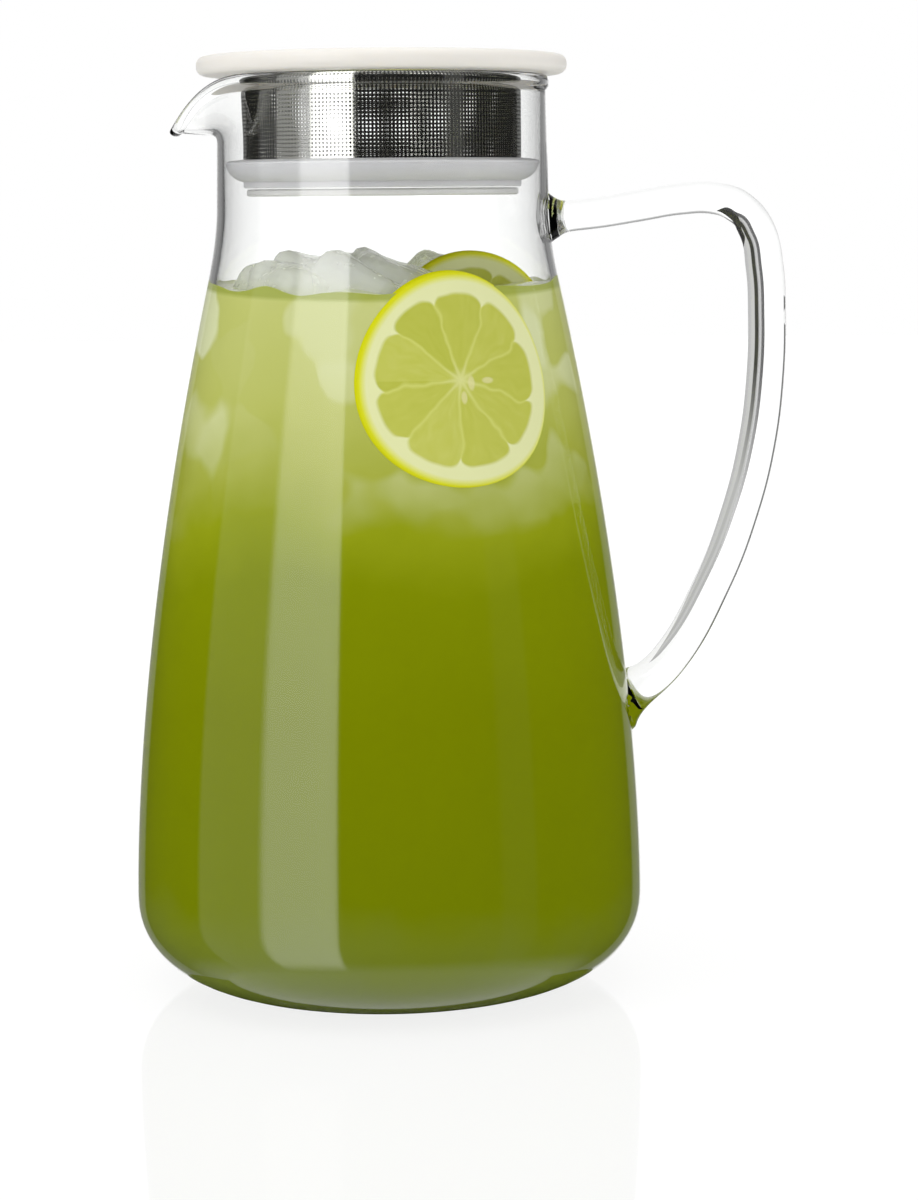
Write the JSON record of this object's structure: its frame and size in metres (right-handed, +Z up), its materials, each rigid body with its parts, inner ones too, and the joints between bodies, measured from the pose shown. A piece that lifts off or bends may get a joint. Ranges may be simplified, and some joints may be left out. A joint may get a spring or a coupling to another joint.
{
  "type": "tea pitcher",
  "caption": "Tall cone-shaped glass tea pitcher with a pulled spout, a bent glass rod handle and a frosted lift-out lid that carries a perforated strainer band and a lip seal.",
  "frame": {"origin": "centre of the flat base of the jug", "axes": "+Z up along the jug's middle line, +X towards the handle, so the spout points along -X"},
  "size_m": [0.1723, 0.1334, 0.2438],
  "materials": {
    "clear_glass": "clear fire-polished borosilicate glass",
    "frosted_plastic": "fine frosted translucent white",
    "milky_plastic": "translucent milky, moulded",
    "silicone": "translucent grey-white silicone",
    "stainless_sheet": "bright perforated stainless sheet"
  },
  "bodies": {
    "jug": {"jug_body": "clear_glass", "handle": "clear_glass"},
    "lid_seal": {"lip_seal": "silicone"},
    "lid": {"lid_disc": "frosted_plastic", "disc_spigot": "milky_plastic", "strainer_band": "stainless_sheet", "lower_collar": "milky_plastic", "retaining_ring": "milky_plastic"}
  },
  "joints": [
    {"name": "lid_lift", "type": "slide", "parent": "jug", "child": "lid_seal", "axis": [0, 0, 1], "range_m": [0, 0.06]},
    {"name": "lid_turn", "type": "hinge", "parent": "lid_seal", "child": "lid", "pos_m": [0, 0, 0.2388], "axis": [0, 0, 1], "continuous": true}
  ]
}
